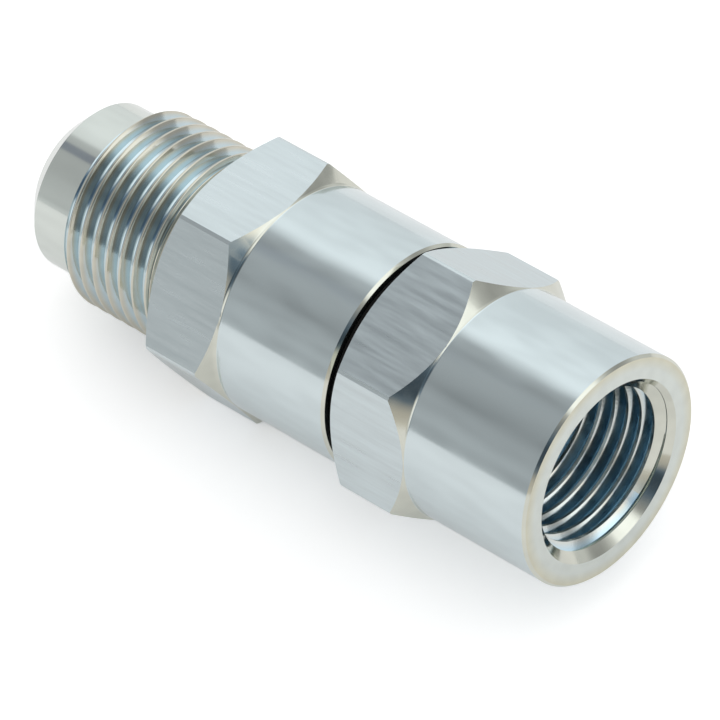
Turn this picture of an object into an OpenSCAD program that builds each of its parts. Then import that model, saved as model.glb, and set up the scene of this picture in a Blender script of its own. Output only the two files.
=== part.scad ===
// Fuel non-return valve: a two-part steel body with a flared male end and a
// threaded female port, holding a sprung soft-seated poppet.
// It lies along X, with the female port at +X and the male end at -X.
// Flow runs from the female port to the male end and lifts the poppet towards -X.
// Every turned piece is drawn about its own Z axis, from the tip of the male end (0)
// to the face of the female port (valve_l), and on_axis() lays it along X.

/* [Male end] */
// Major diameter of the male thread (3/4-16 UNF)
male_thread_d = 19.05; // [18.4:0.05:20]
// Pitch of the male thread
male_pitch = 1.5875; // [1.2:0.0125:1.6]
// Length from the nose to the hexagon, all threaded
male_thread_l = 12.8; // [11:0.1:16]
// Diameter of the plain nose in front of the thread
nose_d = 16.2; // [14.5:0.1:16.6]
// Length of the plain nose
nose_l = 4.2; // [2:0.1:6]
// Length of the flare cone at the tip
flare_l = 1.85; // [1:0.05:2.1]
// Angle of the flare cone to the axis
flare_angle = 45; // [37:1:46]
// Bore through the male end
nose_bore_d = 10; // [8:0.1:10.8]

/* [Hexagons] */
// Width of both hexagons across their flats
hex_af = 22; // [21.6:0.1:24]
// Diameter across the worn-round corners of the drawn hexagon bar
hex_corner_d = 25.2; // [24.6:0.05:25.3]
// Length of the hexagon on the valve body
body_hex_l = 8; // [6:0.1:12]
// Length of the hexagon on the adapter
adapter_hex_l = 8.5; // [6:0.1:12]
// Chamfer angle of the hexagon ends, measured from the end face
hex_chamfer_angle = 32; // [15:1:45]
// Chamfer angle where the adapter's hexagon runs down to its round body
shoulder_angle = 45; // [20:1:50]
// Turn of the adapter's hexagon from the body's, as the tightened thread left it
hex_clocking = 22.8; // [0:0.1:59]
// Fillet that the tool's nose leaves where a hexagon runs down to its round body
corner_fillet = 0.4; // [0.2:0.05:0.6]

/* [Round bodies] */
// Diameter of both round bodies
round_d = 21.9; // [21:0.05:21.9]
// Length of the valve body's round part
body_round_l = 12.75; // [12:0.05:20]
// Length of the adapter's round part, around the port
port_round_l = 13.7; // [12:0.1:20]
// Chamfer on the outer end edges
edge_chamfer = 0.25; // [0.1:0.05:0.6]
// Gap between the two bodies, filled by the sealing ring
joint_gap = 0.9; // [0.6:0.05:1.6]

/* [Female port] */
// Minor diameter of the port's thread
port_minor_d = 14.8; // [14:0.05:16]
// Pitch of the port's thread
port_pitch = 1.5; // [1:0.0125:1.6]
// Mouth diameter of the port's countersink
port_mouth_d = 17.4; // [16.8:0.1:19]
// Plain land between the countersink and the first groove of the thread
port_land = 0.3; // [0.2:0.05:1.2]
// Depth of the threaded part of the port
port_thread_l = 13; // [8:0.1:15]
// Bore from the port to the valve seat
port_bore_d = 10; // [7:0.1:10.2]
// Angle of the port's bottom cone to the axis
drill_angle = 59; // [45:1:75]

/* [Screwed joint] */
// Diameter of the adapter's spigot, at the pitch line of its thread
spigot_d = 17.4; // [16.6:0.1:18]
// Length of the spigot from the adapter's hexagon
spigot_l = 9; // [7:0.1:9.4]
// Diameter of the undercut behind the spigot's thread
undercut_d = 16.4; // [15.6:0.1:16.5]
// Width of the undercut
undercut_l = 1.8; // [1:0.1:2.5]
// Radial clearance of the spigot in the valve body
spigot_clear = 0.05; // [0.02:0.01:0.1]
// Space between the spigot's end and the bottom of its bore
spigot_end_gap = 0.4; // [0.2:0.1:0.8]
// How far the sealing ring lies below the round bodies
seal_recess = 0.4; // [0.1:0.05:1]
// Clearance of the sealing ring at each side
seal_clear = 0.02; // [0.01:0.01:0.05]

/* [Valve seat and poppet] */
// Bore of the poppet chamber
chamber_d = 15.4; // [14.4:0.1:15.6]
// Largest diameter of the seat cone
seat_d = 11.6; // [10.8:0.1:12]
// Gap between the closed seal and the seat
seat_gap = 0.08; // [0.03:0.01:0.2]
// Diameter of the poppet's head
head_d = 12.6; // [12.4:0.1:13.4]
// Thickness of the poppet's head
head_t = 2; // [1.5:0.1:2.6]
// Space between the head and the spigot's end when closed
head_gap = 0.5; // [0.3:0.05:0.7]
// Diameter of the boss that carries the seal
seal_boss_d = 7; // [6:0.1:7.6]
// Thickness of the poppet's seal
poppet_seal_t = 1.3; // [1.1:0.05:1.3]
// Diameter of the poppet's stem
stem_d = 4; // [3:0.1:4.2]
// How far the stem reaches past its guide when closed
stem_reach = 2; // [1:0.1:4]
// Diameter of the stop shoulder on the stem
stop_d = 6; // [5.6:0.1:6.4]
// Travel of the poppet from closed to open
poppet_lift = 3; // [1.5:0.1:3.2]
// Space left between the stop shoulder and the guide when open
stop_gap = 0.3; // [0.1:0.05:0.5]

/* [Seal retainer] */
// Diameter of the retainer's flange
retainer_d = 8.6; // [8:0.1:8.8]
// Thickness of the flange
retainer_t = 0.8; // [0.5:0.05:1.2]
// Length of the retainer's cone
retainer_cone_l = 1.6; // [0.8:0.1:2.4]
// Diameter of its flat tip
retainer_tip_d = 4.6; // [3:0.1:6]
// Diameter of its screwed shank
retainer_shank_d = 3; // [2.4:0.1:3.2]
// Length of the shank
retainer_shank_l = 3.4; // [2:0.1:4]
// Width across the flats of the hexagon socket in its tip
socket_af = 2; // [1.5:0.1:2.4]
// Depth of the socket
socket_l = 1.4; // [0.8:0.1:2]
// Clearance round the shank and behind the flange
retainer_clear = 0.02; // [0.01:0.01:0.05]

/* [Spring] */
// Wire diameter of the spring
wire_d = 0.8; // [0.6:0.05:0.9]
// Mean diameter of the spring
spring_d = 11.2; // [10.8:0.1:11.4]
// Number of turns
spring_turns = 6.5; // [5.5:0.5:7]
// Pilot step on the poppet that centres the spring
pilot_d = 10; // [9:0.1:10.1]
// Height of the pilot step
pilot_l = 1; // [0.5:0.1:1.5]
// Space between the spring and what it bears on
spring_clear = 0.03; // [0.01:0.01:0.1]
// Space between the wires of the closed end turns
coil_gap = 0.04; // [0.02:0.01:0.1]
// Share of the wire that is ground off at the tip of each end turn
ground_share = 0.7; // [0.3:0.05:0.75]

/* [Stem guide] */
// Outer diameter of the guide
guide_d = 14; // [13.6:0.1:14]
// Thickness of the guide
guide_t = 3; // [2:0.1:3.2]
// Inner diameter of the guide's rim
guide_rim_d = 11.6; // [11:0.1:11.8]
// Diameter of the guide's hub
guide_hub_d = 6.6; // [6.2:0.1:7]
// Number of arms between the hub and the rim
guide_arms = 3; // [3:1:4]
// Width of each arm
guide_arm_w = 1.6; // [1.2:0.1:2]
// Chamfer on the edges of the rim and the hub
guide_edge = 0.2; // [0.1:0.05:0.3]
// Clearance of the guide in the valve body
guide_clear = 0.03; // [0.01:0.01:0.08]
// Distance from the hexagon's end face to the guide's upper face
guide_sink = 0.7; // [0.4:0.1:2]
// Wall of the plain bearing bush in the hub
bush_wall = 0.7; // [0.4:0.05:0.8]
// Radial running clearance of the stem in its bush
stem_clear = 0.04; // [0.02:0.01:0.08]
// Radial clearance between the bush and the hub
bush_clear = 0.01; // [0.01:0.01:0.02]

/* [Hidden] */
$fn = 96;
// Cut bodies overlap by this much so that no face is shared
cut = 1;

// Stations along the axis, from the tip of the male end
nose_a = flare_l;
thread_a = nose_a + nose_l;
body_hex_a = thread_a + male_thread_l;
body_round_a = body_hex_a + body_hex_l;
body_end_a = body_round_a + body_round_l;
adapter_hex_a = body_end_a + joint_gap;
port_round_a = adapter_hex_a + adapter_hex_l;
valve_l = port_round_a + port_round_l;
spigot_a = adapter_hex_a - spigot_l;
chamber_end_a = spigot_a - spigot_end_gap;
chamber_a = body_hex_a + guide_sink;
guide_a = chamber_a - guide_t;
head_a = spigot_a - head_gap;
head_back_a = head_a - head_t;
seal_front_a = head_a + poppet_seal_t;
stop_a = chamber_a + poppet_lift + stop_gap;
stem_a = guide_a - stem_reach;

// Unified thread form, 60 degrees between the flanks
flank_angle = 30;
male_depth = 0.6134 * male_pitch;
male_crest = male_pitch / 8;
male_flank = male_depth * tan(flank_angle);
male_r = male_thread_d / 2;
male_root_r = male_r - male_depth;
male_lead = 0.95;
male_first_crest = thread_a + male_lead + male_crest / 2;
male_turns = floor((body_hex_a - male_first_crest - male_crest) / male_pitch);
// Radius of the shallow run-out beside the hexagon
runout_r = male_r - 0.3 * male_depth;
port_depth = 0.5413 * port_pitch;
port_root = port_pitch / 8;
port_flank = port_depth * tan(flank_angle);
port_r = port_minor_d / 2;
port_mouth_depth = (port_mouth_d - port_minor_d) / 2;
port_first_groove = valve_l - port_mouth_depth - port_land - port_flank - port_root / 2;
port_turns = floor((port_thread_l - port_mouth_depth - port_land - port_pitch) / port_pitch);
port_bottom_a = valve_l - port_thread_l;
port_cone_l = (port_minor_d - port_bore_d) / 2 / tan(drill_angle);

flare_tip_d = nose_d - 2 * flare_l * tan(flare_angle);
flare_bore_chamfer = 0.3;
corner_rise = (hex_corner_d - round_d) / 2;
fillet_steps = 5;
body_turn = 30;
chamber_chamfer = 0.5;
bush_d = stem_d + 2 * stem_clear + 2 * bush_wall;
seal_skirt = 0.2;
wire_sides = 10;
turn_steps = 24;
closed_pitch = wire_d + coil_gap;

// Lays what is drawn about Z along X, with the middle of the valve at the origin
module on_axis() {
    rotate([0, 90, 0])
        translate([0, 0, -valve_l / 2])
            children();
}

// A solid turned from an outline of [radius, station] points
module turned(outline) {
    rotate_extrude()
        polygon(outline);
}

// Both flanks and the crest of one turn of the male thread
function male_turn(i) = let (c = male_first_crest + i * male_pitch) [
    [male_root_r, c - male_crest / 2 - male_flank],
    [male_r, c - male_crest / 2],
    [male_r, c + male_crest / 2],
    [male_root_r, c + male_crest / 2 + male_flank]
];

// One groove of the port's thread, listed from the mouth inwards
function port_turn(i) = let (g = port_first_groove - i * port_pitch) [
    [port_r, g + port_root / 2 + port_flank],
    [port_r + port_depth, g + port_root / 2],
    [port_r + port_depth, g - port_root / 2],
    [port_r, g - port_root / 2 - port_flank]
];

// Outline of a hexagon's stretch from station a: both ends chamfered down to the size of
// the round body, and a fillet that leads from the high end's chamfer on to the round
function hexagon_outline(a, length, low_angle, high_angle) =
    let (sweep = 90 - high_angle)
    let (centre = [round_d / 2 + corner_fillet, a + length + corner_fillet * tan(sweep / 2)])
    concat(
        [[round_d / 2, a], [hex_corner_d / 2, a + corner_rise * tan(low_angle)]],
        [[hex_corner_d / 2, a + length - corner_rise * tan(high_angle)]],
        [for (i = [fillet_steps:-1:0])
            let (q = 180 + sweep * i / fillet_steps)
            centre + corner_fillet * [cos(q), sin(q)]]
    );

// Turned from hexagon bar: the bar's flats are left where the outline would be larger
module from_bar(low_a, high_a, turn) {
    intersection() {
        translate([0, 0, low_a - cut])
            rotate([0, 0, turn])
                cylinder(h = high_a - low_a + 2 * cut, d = hex_af / cos(30), $fn = 6);
        children();
    }
}

// Valve body: male end, hexagon, and the round part that houses the poppet
module valve_body() {
    color("#c3ced2")
        on_axis()
            difference() {
                from_bar(0, body_end_a, body_turn)
                    turned(concat(
                        [[0, 0], [flare_tip_d / 2, 0], [nose_d / 2, nose_a], [nose_d / 2, thread_a]],
                        [[male_root_r, thread_a], [male_r, thread_a + male_lead]],
                        [[male_r, male_first_crest + male_crest / 2]],
                        [[male_root_r, male_first_crest + male_crest / 2 + male_flank]],
                        [for (i = [1:male_turns]) each male_turn(i)],
                        [[runout_r, body_hex_a - male_crest], [runout_r, body_hex_a]],
                        hexagon_outline(body_hex_a, body_hex_l, hex_chamfer_angle, hex_chamfer_angle),
                        [[round_d / 2, body_end_a - edge_chamfer]],
                        [[round_d / 2 - edge_chamfer, body_end_a], [0, body_end_a]]
                    ));
                body_bore();
            }
}

// The body's stepped bore: outlet, guide seat, poppet chamber and spigot thread
module body_bore() {
    nose_r = nose_bore_d / 2;
    guide_r = guide_d / 2 + guide_clear;
    thread_r = spigot_d / 2 + spigot_clear;
    turned([
        [0, -cut], [nose_r + flare_bore_chamfer + cut, -cut], [nose_r, flare_bore_chamfer],
        [nose_r, guide_a], [guide_r, guide_a], [guide_r, chamber_a],
        [chamber_d / 2, chamber_a + (chamber_d / 2 - guide_r)],
        [chamber_d / 2, chamber_end_a], [thread_r, chamber_end_a],
        [thread_r, body_end_a - chamber_chamfer],
        [thread_r + chamber_chamfer + cut, body_end_a + cut], [0, body_end_a + cut]
    ]);
}

// Adapter: female port and hexagon, with a spigot whose end is the valve seat
module end_adapter() {
    color("#c6d0d2")
        on_axis()
            difference() {
                from_bar(spigot_a, valve_l, body_turn + hex_clocking)
                    turned(concat(
                        [[0, spigot_a], [spigot_d / 2 - chamber_chamfer, spigot_a]],
                        [[spigot_d / 2, spigot_a + chamber_chamfer]],
                        [[spigot_d / 2, adapter_hex_a - undercut_l - chamber_chamfer]],
                        [[undercut_d / 2, adapter_hex_a - undercut_l], [undercut_d / 2, adapter_hex_a]],
                        hexagon_outline(adapter_hex_a, adapter_hex_l, hex_chamfer_angle, shoulder_angle),
                        [[round_d / 2, valve_l - edge_chamfer]],
                        [[round_d / 2 - edge_chamfer, valve_l], [0, valve_l]]
                    ));
                port_bore();
            }
}

// The adapter's bore: seat cone, through bore, port thread and countersink
module port_bore() {
    bore_r = port_bore_d / 2;
    seat_r = seat_d / 2;
    turned(concat(
        [[0, spigot_a - cut], [seat_r + cut, spigot_a - cut], [seat_r, spigot_a]],
        [[bore_r, spigot_a + seat_r - bore_r], [bore_r, port_bottom_a - port_cone_l]],
        [[port_r, port_bottom_a]],
        [for (i = [port_turns:-1:0]) each [for (k = [3:-1:0]) port_turn(i)[k]]],
        [[port_r, valve_l - port_mouth_depth], [port_mouth_d / 2 + cut, valve_l + cut]],
        [[0, valve_l + cut]]
    ));
}

// Black sealing ring squeezed between the two bodies, round the spigot's undercut
module body_seal() {
    inner_r = undercut_d / 2 + seal_clear;
    outer_r = round_d / 2 - seal_recess;
    color("#17150f")
        on_axis()
            turned([
                [inner_r, body_end_a + seal_clear], [outer_r, body_end_a + seal_clear],
                [outer_r, adapter_hex_a - seal_clear], [inner_r, adapter_hex_a - seal_clear]
            ]);
}

// Poppet: head with a boss for the seal, stop shoulder and guided stem
module poppet() {
    edge = 0.3;
    hole_r = retainer_shank_d / 2 + retainer_clear;
    hole_a = seal_front_a - retainer_shank_l - edge;
    color("#d0c9b4")
        on_axis()
            difference() {
                turned([
                    [0, stem_a], [stem_d / 2 - edge, stem_a], [stem_d / 2, stem_a + edge],
                    [stem_d / 2, stop_a], [stop_d / 2 - edge, stop_a], [stop_d / 2, stop_a + edge],
                    [stop_d / 2, head_back_a - pilot_l], [pilot_d / 2 - edge, head_back_a - pilot_l],
                    [pilot_d / 2, head_back_a - pilot_l + edge], [pilot_d / 2, head_back_a],
                    [head_d / 2 - edge, head_back_a], [head_d / 2, head_back_a + edge],
                    [head_d / 2, head_a - edge], [head_d / 2 - edge, head_a],
                    [seal_boss_d / 2, head_a], [seal_boss_d / 2, seal_front_a - retainer_clear],
                    [0, seal_front_a - retainer_clear]
                ]);
                translate([0, 0, hole_a])
                    cylinder(h = seal_front_a - hole_a + cut, r = hole_r);
            }
}

// Soft ring on the poppet, its outer cone parallel to the seat
module poppet_seal() {
    // Radius plus station is constant along a 45 degree cone
    cone_sum = seat_d / 2 + spigot_a - seat_gap * sqrt(2);
    skirt_r = cone_sum - spigot_a + seal_skirt;
    color("#26241f")
        on_axis()
            turned([
                [seal_boss_d / 2 + retainer_clear, head_a],
                [skirt_r, head_a],
                [skirt_r, cone_sum - skirt_r],
                [cone_sum - seal_front_a, seal_front_a],
                [seal_boss_d / 2 + retainer_clear, seal_front_a]
            ]);
}

// Screw with a cone head and a hexagon socket that clamps the seal on the poppet
module seal_retainer() {
    base_a = seal_front_a;
    tip_a = base_a + retainer_t + retainer_cone_l;
    color("#b9bfc1")
        on_axis()
            difference() {
                turned([
                    [0, base_a - retainer_shank_l],
                    [retainer_shank_d / 2, base_a - retainer_shank_l],
                    [retainer_shank_d / 2, base_a], [retainer_d / 2, base_a],
                    [retainer_d / 2, base_a + retainer_t], [retainer_tip_d / 2, tip_a],
                    [0, tip_a]
                ]);
                translate([0, 0, tip_a - socket_l])
                    cylinder(h = socket_l + cut, d = socket_af / cos(30), $fn = 6);
            }
}

// Height of the wire's centre after t turns: closed end turns, open ones between
function wire_height(t, length) =
    let (open_rise = length - wire_d - 2 * closed_pitch)
    let (open_turns = spring_turns - 2)
    t < 1 ? closed_pitch * t :
    t < spring_turns - 1 ? closed_pitch + open_rise * (t - 1) / open_turns :
    closed_pitch + open_rise + closed_pitch * (t - spring_turns + 1);

// Compression spring between the guide and the poppet's head, closed and ground at both ends
module valve_spring() {
    ground = ground_share * wire_d;
    low_a = chamber_a + spring_clear;
    length = head_back_a - spring_clear - low_a;
    steps = round(spring_turns * turn_steps);
    rings = [for (i = [0:steps]) let (t = i / turn_steps)
        [for (k = [0:wire_sides - 1])
            let (q = 360 * k / wire_sides)
            let (r = spring_d / 2 + wire_d / 2 * cos(q))
            [r * cos(360 * t), r * sin(360 * t),
                wire_d / 2 - ground + wire_height(t, length + 2 * ground) + wire_d / 2 * sin(q)]]];
    sides = [for (i = [0:steps - 1]) for (k = [0:wire_sides - 1])
        let (n = (k + 1) % wire_sides)
        [i * wire_sides + k, i * wire_sides + n,
            (i + 1) * wire_sides + n, (i + 1) * wire_sides + k]];
    start = [for (k = [wire_sides - 1:-1:0]) k];
    end = [for (k = [0:wire_sides - 1]) steps * wire_sides + k];
    color("#8d9397")
        on_axis()
            translate([0, 0, low_a])
                intersection() {
                    polyhedron(points = [for (ring = rings) each ring],
                        faces = concat(sides, [start, end]), convexity = 8);
                    translate([-spring_d, -spring_d, 0])
                        cube([2 * spring_d, 2 * spring_d, length]);
                }
}

// Disc as thick as the guide, with chamfered edges
module guide_disc(d) {
    turned([
        [0, 0], [d / 2 - guide_edge, 0], [d / 2, guide_edge],
        [d / 2, guide_t - guide_edge], [d / 2 - guide_edge, guide_t], [0, guide_t]
    ]);
}

// Spider that carries the stem's bush and the foot of the spring
module stem_guide() {
    reach = (guide_rim_d + guide_d) / 4;
    color("#b4b9b6")
        on_axis()
            translate([0, 0, guide_a])
                difference() {
                    union() {
                        difference() {
                            guide_disc(guide_d);
                            translate([0, 0, -cut])
                                cylinder(h = guide_t + 2 * cut, d = guide_rim_d);
                        }
                        guide_disc(guide_hub_d);
                        for (i = [0:guide_arms - 1])
                            rotate([0, 0, 360 * i / guide_arms])
                                translate([0, -guide_arm_w / 2, 0])
                                    cube([reach, guide_arm_w, guide_t]);
                    }
                    translate([0, 0, -cut])
                        cylinder(h = guide_t + 2 * cut, d = bush_d + 2 * bush_clear);
                }
}

// Plain bearing bush pressed into the guide's hub
module guide_bush() {
    color("#a98a55")
        on_axis()
            translate([0, 0, guide_a])
                difference() {
                    cylinder(h = guide_t, d = bush_d);
                    translate([0, 0, -cut])
                        cylinder(h = guide_t + 2 * cut, d = stem_d + 2 * stem_clear);
                }
}

valve_body();
end_adapter();
body_seal();
poppet();
poppet_seal();
seal_retainer();
valve_spring();
stem_guide();
guide_bush();
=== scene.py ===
import math

import bpy
from mathutils import Matrix, Quaternion, Vector


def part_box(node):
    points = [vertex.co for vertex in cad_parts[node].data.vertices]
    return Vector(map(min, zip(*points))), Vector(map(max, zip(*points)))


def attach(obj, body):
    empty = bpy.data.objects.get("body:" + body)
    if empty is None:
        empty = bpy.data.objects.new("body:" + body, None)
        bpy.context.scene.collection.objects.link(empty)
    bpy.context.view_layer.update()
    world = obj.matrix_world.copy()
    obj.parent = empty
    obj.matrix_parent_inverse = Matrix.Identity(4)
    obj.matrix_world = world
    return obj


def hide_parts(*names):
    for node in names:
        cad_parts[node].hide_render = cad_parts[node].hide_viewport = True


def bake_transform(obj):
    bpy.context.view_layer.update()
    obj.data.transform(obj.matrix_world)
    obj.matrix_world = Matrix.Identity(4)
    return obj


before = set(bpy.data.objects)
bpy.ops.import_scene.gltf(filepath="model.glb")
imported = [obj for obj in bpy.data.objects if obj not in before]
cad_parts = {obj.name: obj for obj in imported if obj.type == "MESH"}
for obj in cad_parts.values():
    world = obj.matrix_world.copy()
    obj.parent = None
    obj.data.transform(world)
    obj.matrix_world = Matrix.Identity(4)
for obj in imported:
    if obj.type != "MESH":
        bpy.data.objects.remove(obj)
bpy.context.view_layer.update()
bpy.ops.object.select_all(action="DESELECT")

# Camera: a long lens from the port's end, above and to the front, so the view is nearly parallel.
# It is rolled a little, as a hand-placed product shot is.
MM = 0.001
view_centre = Vector((3.917, -1.716, -1.211)) * MM
view_distance = 588.97 * MM
view_azimuth = math.radians(47.909)
view_elevation = math.radians(43.528)
view_roll = math.radians(-7.958)
towards_camera = Vector((
    math.sin(view_azimuth) * math.cos(view_elevation),
    -math.cos(view_azimuth) * math.cos(view_elevation),
    math.sin(view_elevation),
))
bpy.ops.object.camera_add(location=view_centre + towards_camera * view_distance)
camera = bpy.context.object
camera.rotation_mode = "QUATERNION"
camera.rotation_quaternion = towards_camera.to_track_quat("Z", "Y") @ Quaternion((0, 0, 1), view_roll)
camera.data.lens = 337.948
camera.data.sensor_width = 36
camera.data.clip_start = 0.01
bpy.context.scene.camera = camera
bpy.context.scene.view_settings.view_transform = "Standard"
bpy.context.scene.cycles.glossy_bounces = 10


# Studio: a soft tent over a pale table. The side behind the valve is bright, the room in front
# of it is dim, and a soft box stands behind the port. The camera itself sees plain white.
def linear(colour, level=1.0):
    """An sRGB hex colour as linear RGBA, times a level."""
    parts = [int(colour[i:i + 2], 16) / 255 for i in (1, 3, 5)]
    return [level * (c / 12.92 if c <= 0.04045 else ((c + 0.055) / 1.055) ** 2.4) for c in parts] + [1]


def add(tree, kind, inputs=None, **settings):
    """Adds a node, sets it up, and gives its inputs a value or another node's output.

    Inputs 6 and 7 and output 2 are the colours of a node that mixes them.
    """
    made = tree.nodes.new(kind)
    for name, value in settings.items():
        setattr(made, name, value)
    for name, value in (inputs or {}).items():
        if isinstance(value, bpy.types.NodeSocket):
            tree.links.new(value, made.inputs[name])
        else:
            made.inputs[name].default_value = value
    return made


def set_stops(ramp, stops):
    """Gives a colour ramp its (place, colour) stops."""
    elements = ramp.color_ramp.elements
    elements[0].position, elements[0].color = stops[0]
    elements[1].position, elements[1].color = stops[-1]
    for place, colour in stops[1:-1]:
        elements.new(place).color = colour


world = bpy.data.worlds.new("studio")
bpy.context.scene.world = world
world.use_nodes = True
tree = world.node_tree
tree.nodes.clear()
direction = add(tree, "ShaderNodeTexCoord").outputs["Generated"]
axes = add(tree, "ShaderNodeSeparateXYZ", {0: direction}).outputs
round_angle = add(tree, "ShaderNodeMath", {0: axes["Z"], 1: axes["Y"]}, operation="ARCTAN2").outputs[0]
round_share = add(tree, "ShaderNodeMath", {0: round_angle, 1: 2 * math.pi}, operation="DIVIDE").outputs[0]
over_table = add(tree, "ShaderNodeMath", {0: round_share, 1: 1.0}, operation="FLOORED_MODULO").outputs[0]

# Rings of the tent round the valve's axis, from the one behind its male end to the one that its
# port looks into: (degrees from the back, over the top, to the front, colour, level)
panel, backdrop, warm, night = "#f7fafb", "#9aa1b0", "#fffaf0", "#86a0ba"
beyond_male_end = [
    (0, panel, 0.96), (26, panel, 1.04), (50, panel, 1.08), (74, panel, 1.02), (82, panel, 1.0),
    (86, panel, 0.7), (94, panel, 0.62), (97, backdrop, 0.77), (105, backdrop, 0.77), (108, panel, 0.56),
    (123, panel, 0.57), (139, panel, 0.61), (155, panel, 0.68), (173, panel, 0.68), (176, panel, 0.79),
    (203, panel, 0.83), (251, panel, 0.82), (281, panel, 0.7), (300, panel, 0.7), (330, panel, 0.85),
    (360, panel, 0.96),
]
behind_male_end = [
    (0, panel, 0.92), (26, panel, 0.97), (45, panel, 1.02), (60, panel, 1.07), (74, panel, 1.19),
    (80, panel, 0.9), (86, panel, 0.51), (95, panel, 0.43), (104, panel, 0.56), (115, panel, 0.53),
    (125, panel, 0.46), (135, panel, 0.37), (145, panel, 0.5), (155, panel, 0.5), (165, panel, 0.6),
    (174, panel, 0.5), (181, panel, 0.56), (186, panel, 0.82), (203, panel, 0.88), (219, panel, 0.92),
    (240, panel, 0.94), (255, panel, 0.9), (268, panel, 0.82), (282, panel, 0.7), (298, panel, 0.76),
    (330, panel, 0.85), (352, panel, 0.89), (360, panel, 0.92),
]
behind_thread = [
    (0, panel, 0.85), (14, panel, 0.91), (26, panel, 0.97), (39, panel, 1.18), (53, panel, 1.35),
    (68, panel, 1.5), (80, panel, 1.3), (86, panel, 0.85), (95, panel, 0.42), (102, panel, 0.28),
    (114, panel, 0.27), (130, panel, 0.25), (146, panel, 0.36), (161, panel, 0.38), (176, panel, 0.34),
    (184, panel, 0.6), (190, panel, 0.92), (218, panel, 0.91), (230, panel, 0.87), (360, panel, 0.85),
]
over_middle = [
    (0, panel, 0.8), (10, panel, 0.8), (20, panel, 0.55), (35, panel, 0.55), (55, panel, 0.9),
    (62, panel, 1.4), (105, panel, 1.4), (112, panel, 0.8), (118, night, 0.6), (125, night, 0.3),
    (138, night, 0.3), (146, night, 0.7), (152, panel, 1.05), (160, panel, 1.25), (170, panel, 1.2),
    (180, panel, 0.75), (270, panel, 0.9), (345, panel, 0.8), (355, panel, 0.7), (360, panel, 0.8),
]
before_port = [
    (0, panel, 0.48), (22, panel, 0.42), (28, panel, 0.45), (38, panel, 0.65), (43, panel, 0.85),
    (50, panel, 1.5), (80, panel, 1.5), (100, panel, 0.9), (112, panel, 0.65), (122, night, 0.7),
    (132, night, 0.45), (148, night, 0.4), (156, panel, 0.6), (175, panel, 0.6), (186, warm, 0.75),
    (200, warm, 0.88), (330, panel, 0.88), (343, panel, 0.86), (352, panel, 0.55), (360, panel, 0.48),
]
box_by_port = [
    (0, panel, 0.45), (7, panel, 0.6), (12, panel, 1.0), (17, panel, 1.5), (80, panel, 1.6),
    (88, panel, 1.1), (92, panel, 0.58), (100, panel, 0.38), (124, night, 0.45), (136, night, 0.24),
    (150, night, 0.22), (160, night, 0.26), (166, night, 0.5), (171, panel, 0.4), (177, warm, 0.58),
    (188, warm, 0.7), (200, warm, 0.88), (348, warm, 0.88), (356, panel, 0.55), (360, panel, 0.45),
]
down_the_axis = [
    (0, warm, 1.2), (55, warm, 1.3), (66, panel, 0.9), (78, night, 1.0), (92, night, 0.74),
    (126, night, 0.54), (150, night, 0.46), (168, panel, 0.45), (190, warm, 0.6), (232, warm, 0.85),
    (270, warm, 0.85), (360, warm, 1.2),
]
into_the_port = [(0, panel, 1.3), (90, panel, 1.1), (150, panel, 1.0), (270, panel, 1.2), (360, panel, 1.3)]
rings = []
for stops in (
    beyond_male_end, behind_male_end, behind_thread, over_middle, before_port, box_by_port, down_the_axis,
    into_the_port,
):
    ring = add(tree, "ShaderNodeValToRGB", {0: over_table})
    set_stops(ring, [(angle / 360, linear(colour, level)) for angle, colour, level in stops])
    rings.append(ring.outputs[0])

# Where each ring gives way to the next, as the share of a ray's direction that lies along the axis
seams = (
    (-0.572, -0.56), (-0.505, -0.46), (-0.3, -0.05), (0.42, 0.56), (0.7, 0.8), (0.93, 0.97), (0.99, 0.995),
)
tent = rings[0]
for ring, (start, end) in zip(rings[1:], seams):
    share = add(
        tree, "ShaderNodeMapRange", {"Value": axes["X"], "From Min": start, "From Max": end},
        interpolation_type="SMOOTHSTEP",
    ).outputs[0]
    tent = add(tree, "ShaderNodeMix", {"Factor": share, 6: tent, 7: ring}, data_type="RGBA").outputs[2]
rays = add(tree, "ShaderNodeLightPath").outputs
plain = add(
    tree, "ShaderNodeMath", {0: rays["Is Camera Ray"], 1: rays["Is Diffuse Ray"]}, operation="MAXIMUM"
).outputs[0]
tent_light = add(tree, "ShaderNodeBackground", {"Color": tent})
even_light = add(tree, "ShaderNodeBackground", {"Color": (1, 1, 1, 1)})
light = add(
    tree, "ShaderNodeMixShader", {0: plain, 1: tent_light.outputs[0], 2: even_light.outputs[0]}
).outputs[0]
add(tree, "ShaderNodeOutputWorld", {"Surface": light})

# Table: a sheet of white card that the valve lies on with its two hexagons. The body's is a little
# the deeper, so the card slopes against the axis. It is lit by the tent, and brought up to white.
table_side = 500
table_x, table_z = -11.469, -11.0
table_slope = math.radians(3.965)
fill_for_camera, fill_for_mirrors = 0.32, 0.08


def new_material(name):
    """A material with no nodes yet, and its node tree."""
    material = bpy.data.materials.new(name)
    material.use_nodes = True
    material.node_tree.nodes.clear()
    return material, material.node_tree


bpy.ops.mesh.primitive_plane_add(
    size=table_side * MM, location=(table_x * MM, 0, table_z * MM), rotation=(0, table_slope, 0)
)
table = bpy.context.object
table.name = "table"
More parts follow.
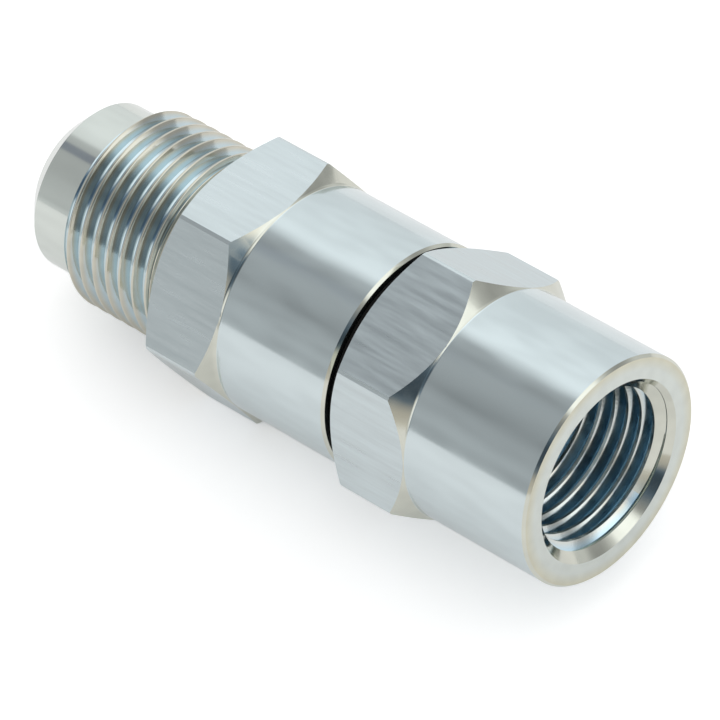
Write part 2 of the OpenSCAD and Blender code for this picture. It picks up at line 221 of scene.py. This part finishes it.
# Matt white card, with no gloss: even, and as white as the backdrop.
white_card, tree = new_material("white card")
card = add(tree, "ShaderNodeBsdfDiffuse", {"Color": linear("#f3f3f3")})
rays = add(tree, "ShaderNodeLightPath").outputs
seen = add(
    tree, "ShaderNodeMath", {0: rays["Is Camera Ray"], 1: fill_for_camera}, operation="MULTIPLY"
).outputs[0]
fill = add(
    tree, "ShaderNodeMath", {0: rays["Is Glossy Ray"], 1: fill_for_mirrors, 2: seen}, operation="MULTIPLY_ADD"
).outputs[0]
glow = add(tree, "ShaderNodeEmission", {"Color": (1, 1, 1, 1), "Strength": fill})
both = add(tree, "ShaderNodeAddShader", {0: card.outputs[0], 1: glow.outputs[0]})
add(tree, "ShaderNodeOutputMaterial", {"Surface": both.outputs[0]})
table.data.materials.append(white_card)

# Valve body: the longer half, turned from 22 mm hexagon bar with a flared and threaded male end,
# and bored to hold the poppet. Free-cutting steel, zinc plated and blue passivated.
# Sizes are in mm, and stations along the axis are counted from the tip of the male end.
valve_l = 62.7
male_tip_r, flare_l, nose_r, nose_end = 6.25, 1.85, 8.1, 6.05
male_r, male_root_r, pitch = 9.525, 8.551, 1.5875
crest_edge_r, root_nose_r, root_rise = 0.07, 0.3, 0.06
crest_station, crest_phase, thread_turns = 7.24, 135, 13
male_lead_in, thread_end, collar_r = 0.95, 17.12, 9.46
hex_a, hex_l, hex_af, corner_r = 18.85, 8.0, 22.0, 12.6
hex_chamfer = math.radians(32)
drawn_corner = 0.18
round_r, body_end = 10.95, 39.6
fillet_r, edge = 0.4, 0.25
bore_r, bore_break = 5.0, 0.3
guide_low, guide_high, guide_r = 16.55, 19.55, 7.03
chamber_r, chamber_end, socket_r, socket_break = 7.7, 31.1, 8.75, 0.5
thread_flank = math.radians(30)
turn_facets, wind_facets = 192, 96


def along(station):
    """Distance along the valve's axis, in metres, of a station in mm from the male tip."""
    return (station - valve_l / 2) * MM


def only(piece):
    """Leaves one object selected and active."""
    bpy.ops.object.select_all(action="DESELECT")
    piece.select_set(True)
    bpy.context.view_layer.objects.active = piece


def face_out():
    """Turns the active piece's faces outwards."""
    bpy.ops.object.mode_set(mode="EDIT")
    bpy.ops.mesh.select_all(action="SELECT")
    bpy.ops.mesh.normals_make_consistent(inside=False)
    bpy.ops.object.mode_set(mode="OBJECT")


def merge_points(gap):
    """Merges the active piece's points that lie within a gap in mm."""
    bpy.ops.object.mode_set(mode="EDIT")
    bpy.ops.mesh.select_all(action="SELECT")
    bpy.ops.mesh.remove_doubles(threshold=gap * MM)
    bpy.ops.object.mode_set(mode="OBJECT")


def turn(name, outline):
    """A solid turned about the axis from (station, radius) points in mm, its two ends closed."""
    station, radius = outline[0]
    bpy.ops.object.select_all(action="DESELECT")
    bpy.ops.mesh.primitive_circle_add(
        vertices=turn_facets, radius=radius * MM, fill_type="NGON",
        location=(along(station), 0, 0), rotation=(0, math.pi / 2, 0),
    )
    piece = bpy.context.object
    piece.name = piece.data.name = name
    bpy.ops.object.transform_apply(location=True, rotation=True, scale=True)
    bpy.ops.object.mode_set(mode="EDIT")
    bpy.ops.mesh.select_all(action="SELECT")
    for next_station, next_radius in outline[1:]:
        bpy.ops.mesh.extrude_region_move(
            TRANSFORM_OT_translate={"value": ((next_station - station) * MM, 0, 0)}
        )
        bpy.ops.transform.resize(
            value=(1, next_radius / radius, next_radius / radius),
            center_override=(along(next_station), 0, 0),
        )
        station, radius = next_station, next_radius
    face_out()
    return piece


def shape(piece, operation, tool):
    """Cuts, joins or trims a piece with a tool, which is used up."""
    change = piece.modifiers.new("shape", "BOOLEAN")
    change.operation = operation
    change.solver = "EXACT"
    change.object = tool
    only(piece)
    bpy.ops.object.modifier_apply(modifier=change.name)
    bpy.data.objects.remove(tool)


def hexagon_bar(low, high, clocking):
    """Drawn hexagon bar between two stations, with the soft corners that the die leaves."""
    bpy.ops.object.select_all(action="DESELECT")
    bpy.ops.mesh.primitive_cylinder_add(
        vertices=6, radius=hex_af / 2 / math.cos(math.radians(30)) * MM, depth=(high - low) * MM
    )
    bar = bpy.context.object
    bar.matrix_world = (
        Matrix.Translation((along((low + high) / 2), 0, 0))
        @ Matrix.Rotation(math.radians(clocking), 4, "X")
        @ Matrix.Rotation(math.pi / 2, 4, "Y")
    )
    bpy.ops.object.transform_apply(location=True, rotation=True, scale=True)
    bpy.ops.object.mode_set(mode="EDIT")
    bpy.ops.mesh.select_all(action="DESELECT")
    bpy.ops.object.mode_set(mode="OBJECT")
    for corner in bar.data.edges:
        start, end = (bar.data.vertices[i].co for i in corner.vertices)
        corner.select = abs(start.x - end.x) > MM
    bpy.ops.object.mode_set(mode="EDIT")
    bpy.ops.mesh.select_mode(type="EDGE")
    bpy.ops.mesh.bevel(offset=drawn_corner * MM, segments=4, affect="EDGES")
    bpy.ops.object.mode_set(mode="OBJECT")
    return bar


def hexagon_outline(low, length, high_angle):
    """Turned outline of a hexagon: chamfered ends, and a fillet on to the round at the high end."""
    sweep = math.pi / 2 - high_angle
    centre = (low + length + fillet_r * math.tan(sweep / 2), round_r + fillet_r)
    fillet = [
        (centre[0] - fillet_r * math.sin(sweep * i / 6), centre[1] - fillet_r * math.cos(sweep * i / 6))
        for i in range(6, -1, -1)
    ]
    rise = corner_r - round_r
    return [
        (low, round_r), (low + rise * math.tan(hex_chamfer), corner_r),
        (low + length - rise * math.tan(high_angle), corner_r), *fillet,
    ]


def wind(name, form, lead, phase, turns, closed, part=1.0):
    """Winds a (station, radius) line round the axis, at a lead in mm, from a phase in degrees.

    It goes round as many times as turns says, each time for a whole turn or for part of one.
    A closed line ends where it starts, as the outline of a wire or a tool does.
    """
    bpy.ops.object.select_all(action="DESELECT")
    bpy.ops.mesh.primitive_plane_add(size=MM)
    piece = bpy.context.object
    piece.name = piece.data.name = name
    bpy.ops.object.mode_set(mode="EDIT")
    bpy.ops.mesh.select_mode(type="VERT")
    bpy.ops.mesh.select_all(action="SELECT")
    bpy.ops.mesh.merge(type="CENTER")
    station, radius = form[0]
    bpy.ops.transform.translate(value=(along(station), radius * MM, 0))
    for next_station, next_radius in form[1:] + form[:1] * closed:
        bpy.ops.mesh.extrude_region_move(
            TRANSFORM_OT_translate={"value": ((next_station - station) * MM, (next_radius - radius) * MM, 0)}
        )
        station, radius = next_station, next_radius
    merge_points(0.001)
    piece.matrix_world = Matrix.Rotation(math.radians(phase), 4, "X")
    bpy.ops.object.transform_apply(location=True, rotation=True, scale=True)
    helix = piece.modifiers.new("helix", "SCREW")
    helix.axis = "X"
    helix.angle = 2 * math.pi * part
    helix.screw_offset = lead * part * MM
    helix.iterations = turns
    helix.steps = helix.render_steps = round(wind_facets * part)
    bpy.ops.object.modifier_apply(modifier=helix.name)
    merge_points(0.001)
    return piece


def trim(piece, station, keep_high):
    """Cuts a piece square at a station, and closes the cut."""
    only(piece)
    bpy.ops.object.mode_set(mode="EDIT")
    bpy.ops.mesh.select_all(action="SELECT")
    bpy.ops.mesh.bisect(
        plane_co=(along(station), 0, 0), plane_no=(1, 0, 0), use_fill=True,
        clear_inner=keep_high, clear_outer=not keep_high, threshold=0.0001 * MM,
    )
    face_out()


def male_form():
    """One pitch of the male thread: a crest's flat, a flank, the round root, and the next flank.

    The flat has soft edges and is an eighth of the pitch wide, and its middle is at station 0.
    """
    sweep = math.pi / 2 - thread_flank
    crest_half = pitch / 16
    root_r = male_root_r + root_rise + root_nose_r
    half_crest = []
    for i in range(4):
        q = sweep * i / 3
        half_crest.append((
            crest_half - crest_edge_r * math.tan(sweep / 2) + crest_edge_r * math.sin(q),
            male_r - crest_edge_r + crest_edge_r * math.cos(q),
        ))
    root = []
    for i in range(13):
        q = sweep * (1 - i / 6)
        root.append((pitch / 2 - root_nose_r * math.sin(q), root_r - root_nose_r * math.cos(q)))
    next_crest = [(pitch - a, r) for a, r in reversed(half_crest)]
    return [(-half_crest[0][0], male_r)] + half_crest + root + next_crest


valve_body = turn("valve_body_shell", [
    (0, male_tip_r), (flare_l, nose_r), (hex_a, nose_r),
    *hexagon_outline(hex_a, hex_l, hex_chamfer),
    (body_end - edge, round_r), (body_end, round_r - edge),
])
shape(valve_body, "INTERSECT", hexagon_bar(-1, body_end + 1, 0))
thread_form = [(crest_station - 3 * pitch + a, r) for a, r in male_form()]
thread = wind("thread", thread_form, pitch, crest_phase, thread_turns, closed=False)
trim(thread, nose_end, keep_high=True)
trim(thread, thread_end, keep_high=False)
shape(thread, "INTERSECT", turn("lead_in", [
    (nose_end - 1, male_root_r - 0.05), (nose_end, male_root_r), (nose_end + male_lead_in, male_r + 0.01),
    (hex_a, male_r + 0.01),
]))
shape(valve_body, "UNION", thread)
# The tool's run-out by the hexagon: two narrow rings with a groove between them, and a plain collar.
shape(valve_body, "UNION", turn("run_out_collar", [
    (16.95, 8.5), (17.04, 8.9), (17.1, 9.05), (17.2, 9.3), (17.3, 9.4), (17.36, 9.38), (17.45, 9.2),
    (17.5, 9.2), (17.58, 9.4), (17.66, collar_r), (hex_a + 0.5, collar_r),
]))
body_bore = turn("body_bore", [
    (-1, bore_r + bore_break + 1), (bore_break, bore_r), (guide_low, bore_r), (guide_low, guide_r),
    (guide_high, guide_r), (guide_high + chamber_r - guide_r, chamber_r), (chamber_end, chamber_r),
    (chamber_end, socket_r), (body_end - socket_break, socket_r), (body_end + 1, socket_r + socket_break + 1),
])
shape(valve_body, "DIFFERENCE", body_bore)


def finish_metal(piece):
    """Smooth shading that keeps the machined edges sharp and the flats flat."""
    only(piece)
    bpy.ops.object.shade_smooth_by_angle(angle=math.radians(28))
    even = piece.modifiers.new("even", "WEIGHTED_NORMAL")
    even.keep_sharp = True
    bpy.ops.object.modifier_apply(modifier=even.name)


# Marks and patches in each millimetre. The marks are coarser than a real tool's, so that they show.
turned_marks, closer_on_faces = 5, 1.7
drawn_marks, drawn_marks_along = 6, 0.12
turned_patches, turned_patches_along = 0.9, 0.25
drawn_patches, drawn_patches_along = 1.8, 0.16
noise_low, noise_high = 0.3, 0.7


def machined(name, colour, roughness, marks="turned", depth=0.4, patchy=0.03, scuffs=0.0, to_radius=None):
    """Metal with its tool's marks: rings round a turned piece, or lines along a drawn one.

    The marks' depth is in microns. patchy is how far the tone wanders, and scuffs how ragged its
    patches are. to_radius, where given, is (start radius, end radius, colour there), in mm.
    """
    material, tree = new_material(name)
    place = add(tree, "ShaderNodeTexCoord").outputs["Object"]
    axes = add(tree, "ShaderNodeSeparateXYZ", {0: place}).outputs
    across = add(tree, "ShaderNodeCombineXYZ", {"Y": axes["Y"], "Z": axes["Z"]}).outputs[0]
    radius = add(tree, "ShaderNodeVectorMath", {0: across}, operation="LENGTH").outputs["Value"]
    if marks == "turned":
        feed = add(
            tree, "ShaderNodeMath", {0: radius, 1: closer_on_faces, 2: axes["X"]}, operation="MULTIPLY_ADD"
        ).outputs[0]
        lines = add(
            tree, "ShaderNodeTexNoise", {"W": feed, "Scale": turned_marks / MM, "Detail": 3.0},
            noise_dimensions="1D",
        )
        patches = (turned_patches_along / MM, turned_patches / MM, turned_patches / MM)
    else:
        stretched = add(tree, "ShaderNodeVectorMath", {
            0: place, 1: (drawn_marks_along / MM, drawn_marks / MM, drawn_marks / MM),
        }, operation="MULTIPLY").outputs[0]
        lines = add(tree, "ShaderNodeTexNoise", {"Vector": stretched, "Scale": 1.0, "Detail": 4.0})
        patches = (drawn_patches_along / MM, drawn_patches / MM, drawn_patches / MM)
    bump = add(
        tree, "ShaderNodeBump", {"Height": lines.outputs[0], "Strength": 1.0, "Distance": depth * 0.001 * MM}
    ).outputs[0]
    cloudy = add(tree, "ShaderNodeVectorMath", {0: place, 1: patches}, operation="MULTIPLY").outputs[0]
    clouds = add(tree, "ShaderNodeTexNoise", {"Vector": cloudy, "Scale": 1.0, "Detail": scuffs}).outputs[0]
    gloss = add(tree, "ShaderNodeMapRange", {
        "Value": clouds, "From Min": noise_low, "From Max": noise_high,
        "To Min": roughness * 0.8, "To Max": roughness * 1.25,
    }).outputs[0]
    shade = add(tree, "ShaderNodeMapRange", {
        "Value": clouds, "From Min": noise_low, "From Max": noise_high,
        "To Min": 1 - patchy, "To Max": 1 + patchy,
    }).outputs[0]
    tone = linear(colour)
    if to_radius:
        start, end, colour_there = to_radius
        share = add(tree, "ShaderNodeMapRange", {
            "Value": radius, "From Min": start * MM, "From Max": end * MM,
        }).outputs[0]
        tone = add(
            tree, "ShaderNodeMix", {"Factor": share, 6: tone, 7: linear(colour_there)}, data_type="RGBA"
        ).outputs[2]
    tone = add(
        tree, "ShaderNodeMix", {"Factor": 1.0, 6: tone, 7: shade}, data_type="RGBA", blend_type="MULTIPLY"
    ).outputs[2]
    metal = add(tree, "ShaderNodeBsdfPrincipled", {
        "Base Color": tone, "Metallic": 1.0, "Roughness": gloss, "Normal": bump,
    })
    add(tree, "ShaderNodeOutputMaterial", {"Surface": metal.outputs[0]})
    return material


def paint(piece, finish_of):
    """Gives each face the finish for its station, its radius, how far it leans and its area."""
    for face in piece.data.polygons:
        station, radius = face.center.x / MM + valve_l / 2, face.center.yz.length / MM
        finish = finish_of(station, radius, abs(face.normal.x), face.area / MM ** 2)
        if finish.name not in piece.data.materials:
            piece.data.materials.append(finish)
        face.material_index = piece.data.materials.find(finish.name)


def on_flat(radius, lean, area):
    """Whether a face is a hexagon's flat, which is outside the round, level and large."""
    return radius > round_r and lean < 0.02 and area > 1


def slopes(lean):
    """Whether a face is neither round the axis nor square to it, as a chamfer is."""
    return 0.2 < lean < 0.98


# Turned: a bright, faintly blue grey with fine rings that soften what it mirrors.
turned_zinc = machined("blue zinc on turned steel", "#cfd9db", 0.13)
# The nose: turned finer, so glossier, and the film is less blue.
nose_zinc = machined("blue zinc on the nose", "#d3d8d3", 0.1)
# Drawn: the bar's own skin, softer, with fine long streaks.
drawn_zinc = machined("blue zinc on drawn steel", "#cdd6d8", 0.23, "drawn", depth=0.02, scuffs=3.0)
# Chamfers: the film on an edge goes cream.
chamfer_zinc = machined("blue zinc on a chamfer", "#d0d1c6", 0.12)
# The thread: glossy, a bluer grey than the turned body, going cream towards its crests. Both tints are partly
# the film's own and partly painted reflection: a painted blue for what the flanks mirror, and a painted warm
# highlight on the crests.
thread_zinc = machined("blue zinc on a thread", "#c3d2d7", 0.1, to_radius=(9.05, 9.4, "#cbc8bb"))


def body_finish(station, radius, lean, area):
    """The valve body's finish on a face."""
    if station < nose_end + 0.01:
        return nose_zinc
    if station < hex_a - 0.01 and radius > male_root_r - 0.1:
        return thread_zinc
    if on_flat(radius, lean, area):
        return drawn_zinc
    if radius > round_r - edge and slopes(lean):
        return chamfer_zinc
    return turned_zinc


paint(valve_body, body_finish)
finish_metal(valve_body)
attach(valve_body, "housing")
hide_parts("valve_body")

# End adapter: the shorter half, turned from the same bar, with the female port and a spigot that
# screws into the body and ends in the valve seat. Plated like the body.
adapter_a, adapter_l, adapter_clocking = 40.5, 8.5, 22.8
shoulder = math.radians(45)
spigot_a, spigot_r, spigot_break, undercut_r, undercut_l = 31.5, 8.7, 0.5, 8.2, 1.8
seat_r = 5.8
port_r, port_pitch, port_depth, mouth_r = 7.4, 1.5, 0.86, 8.7
port_bottom, port_cone_l, port_thread_low = 49.7, 1.72, 47
groove_half, groove_nose_r, groove_overlap = 0.41 * port_pitch, 0.1, 0.15
groove_station, groove_angle = 60.94, 300
groove_phase, groove_turns, groove_turns_beyond = 130, 10, 2
end_adapter = turn("end_adapter_shell", [
    (spigot_a, spigot_r - spigot_break), (spigot_a + spigot_break, spigot_r),
    (adapter_a - undercut_l - spigot_break, spigot_r), (adapter_a - undercut_l, undercut_r),
    (adapter_a, undercut_r),
    *hexagon_outline(adapter_a, adapter_l, shoulder),
    (valve_l - edge, round_r), (valve_l, round_r - edge),
])
shape(end_adapter, "INTERSECT", hexagon_bar(spigot_a - 1, valve_l + 1, adapter_clocking))
port_bore = turn("port_bore", [
    (spigot_a - 1, seat_r + 1), (spigot_a + seat_r - bore_r, bore_r), (port_bottom - port_cone_l, bore_r),
    (port_bottom, port_r), (valve_l - mouth_r + port_r, port_r), (valve_l + 1, mouth_r + 1),
])


def port_groove():
    """The tool that cuts the port thread: a 60 degree point with a round nose."""
    inner = port_r - groove_overlap
    inner_half = groove_half + groove_overlap * math.tan(thread_flank)
    nose = []
    for i in range(5):
        q = (math.pi / 2 - thread_flank) * (1 - i / 2)
        nose.append((-groove_nose_r * math.sin(q), port_r + port_depth - groove_nose_r * (1 - math.cos(q))))
    return [(-inner_half, inner)] + nose + [(inner_half, inner)]


def close_ends(piece):
    """Fills the open ends of a wound piece."""
    only(piece)
    bpy.ops.object.mode_set(mode="EDIT")
    bpy.ops.mesh.select_all(action="DESELECT")
    bpy.ops.mesh.select_non_manifold()
    bpy.ops.mesh.fill_holes(sides=0)
    face_out()


turns_before = (groove_phase - groove_angle) / 360 + groove_turns_beyond - groove_turns
groove_start = groove_station - groove_half + port_pitch * turns_before
groove_form = [(groove_start + a, r) for a, r in port_groove()]
groove = wind("groove", groove_form, port_pitch, groove_phase, groove_turns, closed=True)
close_ends(groove)
shape(end_adapter, "DIFFERENCE", port_bore)
shape(end_adapter, "DIFFERENCE", groove)
# The port thread: its grooves mirror one another, and its colour goes bluer towards their roots, a painted
# reflection that deepens the blue of what the grooves mirror of one another.
port_zinc = machined("blue zinc in the port thread", "#d6dad6", 0.14, to_radius=(7.5, 8.0, "#c2dbe8"))
# The bore: plating is thin and dull so deep inside.
bore_zinc = machined("blue zinc in the bore", "#d3dde2", 0.55)
# Scuffed flats: handling and a spanner have roughened the drawn skin in long patches.
scuffed_zinc = machined(
    "blue zinc on scuffed drawn steel", "#cdd6d8", 0.34, "drawn", depth=0.9, patchy=0.08, scuffs=4.0
)
# The port face: turned rings, and cream towards its outer edge.
face_zinc = machined("blue zinc on the port face", "#d2d7d2", 0.15, to_radius=(9.6, 10.7, "#cfccb8"))


def adapter_finish(station, radius, lean, area):
    """The end adapter's finish on a face."""
    if radius < port_r + 0.01 and station < port_bottom + 0.01:
        return bore_zinc
    if radius < port_r + port_depth + 0.1 and port_thread_low < station < valve_l - mouth_r + port_r:
        return port_zinc
    if station > valve_l - 0.01:
        return face_zinc
    if on_flat(radius, lean, area):
        return scuffed_zinc
    if (radius > round_r - edge or radius < mouth_r) and slopes(lean):
        return chamfer_zinc
    return turned_zinc


paint(end_adapter, adapter_finish)
finish_metal(end_adapter)
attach(end_adapter, "housing")
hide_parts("end_adapter")

# Seal: a black nitrile rubber ring, squeezed in the gap between the halves over the spigot's
# undercut. It is moulded, and stands back from the round bodies.
seal_r, seal_hole_r, seal_edge, seal_clear = 10.3, 8.22, 0.2, 0.02
body_seal = turn("body_seal_ring", [
    (body_end + seal_clear, seal_r - seal_edge), (body_end + seal_edge, seal_r),
    (adapter_a - seal_edge, seal_r), (adapter_a - seal_clear, seal_r - seal_edge),
])
shape(body_seal, "DIFFERENCE", turn("seal_hole", [(body_end - 1, seal_hole_r), (adapter_a + 1, seal_hole_r)]))
# Rubber: nearly black and matt, with a fine grain and a faint bloom. 9 grains and 0.7 patches a mm.
rubber, tree = new_material("black nitrile rubber")
place = add(tree, "ShaderNodeTexCoord").outputs["Object"]
grain = add(tree, "ShaderNodeTexNoise", {"Vector": place, "Scale": 9 / MM, "Detail": 3.0}).outputs[0]
bloom = add(tree, "ShaderNodeTexNoise", {"Vector": place, "Scale": 0.7 / MM, "Detail": 2.0}).outputs[0]
bump = add(tree, "ShaderNodeBump", {"Height": grain, "Strength": 0.6, "Distance": 0.01 * MM}).outputs[0]
tone = add(
    tree, "ShaderNodeMix", {"Factor": bloom, 6: linear("#0b0a09"), 7: linear("#141310")}, data_type="RGBA"
).outputs[2]
matt = add(tree, "ShaderNodeBsdfPrincipled", {
    "Base Color": tone, "Roughness": 0.85, "Specular IOR Level": 0.2, "Normal": bump,
}).outputs[0]
add(tree, "ShaderNodeOutputMaterial", {"Surface": matt})
body_seal.data.materials.append(rubber)
finish_metal(body_seal)
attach(body_seal, "housing")
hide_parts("body_seal")

# Spring: round wire wound right-handed, its end turns closed and ground flat. Drawn stainless
# spring wire. It stands between the spider and the poppet's head; in the valve it shortens as the poppet
# lifts, but here it is built at one length.
wire_r, coil_r, closed_lead, ground = 0.4, 5.6, 0.84, 0.56
open_half_turns = 9
spring_low, spring_high = (corner.x / MM + valve_l / 2 for corner in map(Vector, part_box("valve_spring")))
first = spring_low + wire_r - ground
last = spring_high - wire_r + ground
open_lead = (last - first - 2 * closed_lead) / (open_half_turns / 2)


def wire_at(station):
    """The wire's round section in mm, with its centre at a station."""
    return [
        (station + wire_r * math.cos(math.radians(q)), coil_r + wire_r * math.sin(math.radians(q)))
        for q in range(0, 360, 20)
    ]


valve_spring = wind("valve_spring_wire", wire_at(first), closed_lead, 0, 1, closed=True)
open_turns = wind(
    "open_turns", wire_at(first + closed_lead), open_lead, 0, open_half_turns, closed=True, part=0.5
)
last_turn = wind("last_turn", wire_at(last - closed_lead), closed_lead, 180, 1, closed=True)
only(valve_spring)
open_turns.select_set(True)
last_turn.select_set(True)
bpy.ops.object.join()
merge_points(0.005)
close_ends(valve_spring)
trim(valve_spring, spring_low, keep_high=True)
trim(valve_spring, spring_high, keep_high=False)
# Spring wire: a soft grey shine, from the die's fine lines.
spring_wire = machined("drawn stainless spring wire", "#adb0b3", 0.3, "drawn", depth=0.5, patchy=0.06)
valve_spring.data.materials.append(spring_wire)
finish_metal(valve_spring)
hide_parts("valve_spring")
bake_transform(valve_spring)

# Inner pieces, which stay the CAD's own: the poppet, its seal and the screw that clamps it, and the
# spider with its bush. Turned stainless steel, moulded rubber and bearing bronze.
# Stainless is a warmer and duller grey than zinc, and bronze a dull gold, both with turned rings.
stainless = machined("turned stainless steel", "#c8c6c2", 0.22, depth=0.6, patchy=0.04)
bronze = machined("bearing bronze", "#c4a871", 0.28, depth=0.6, patchy=0.06)
for inner, finish in (
    ("poppet", stainless), ("seal_retainer", stainless), ("stem_guide", stainless), ("poppet_seal", rubber),
    ("guide_bush", bronze),
):
    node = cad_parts[inner]
    node.data.materials.clear()
    node.data.materials.append(finish)
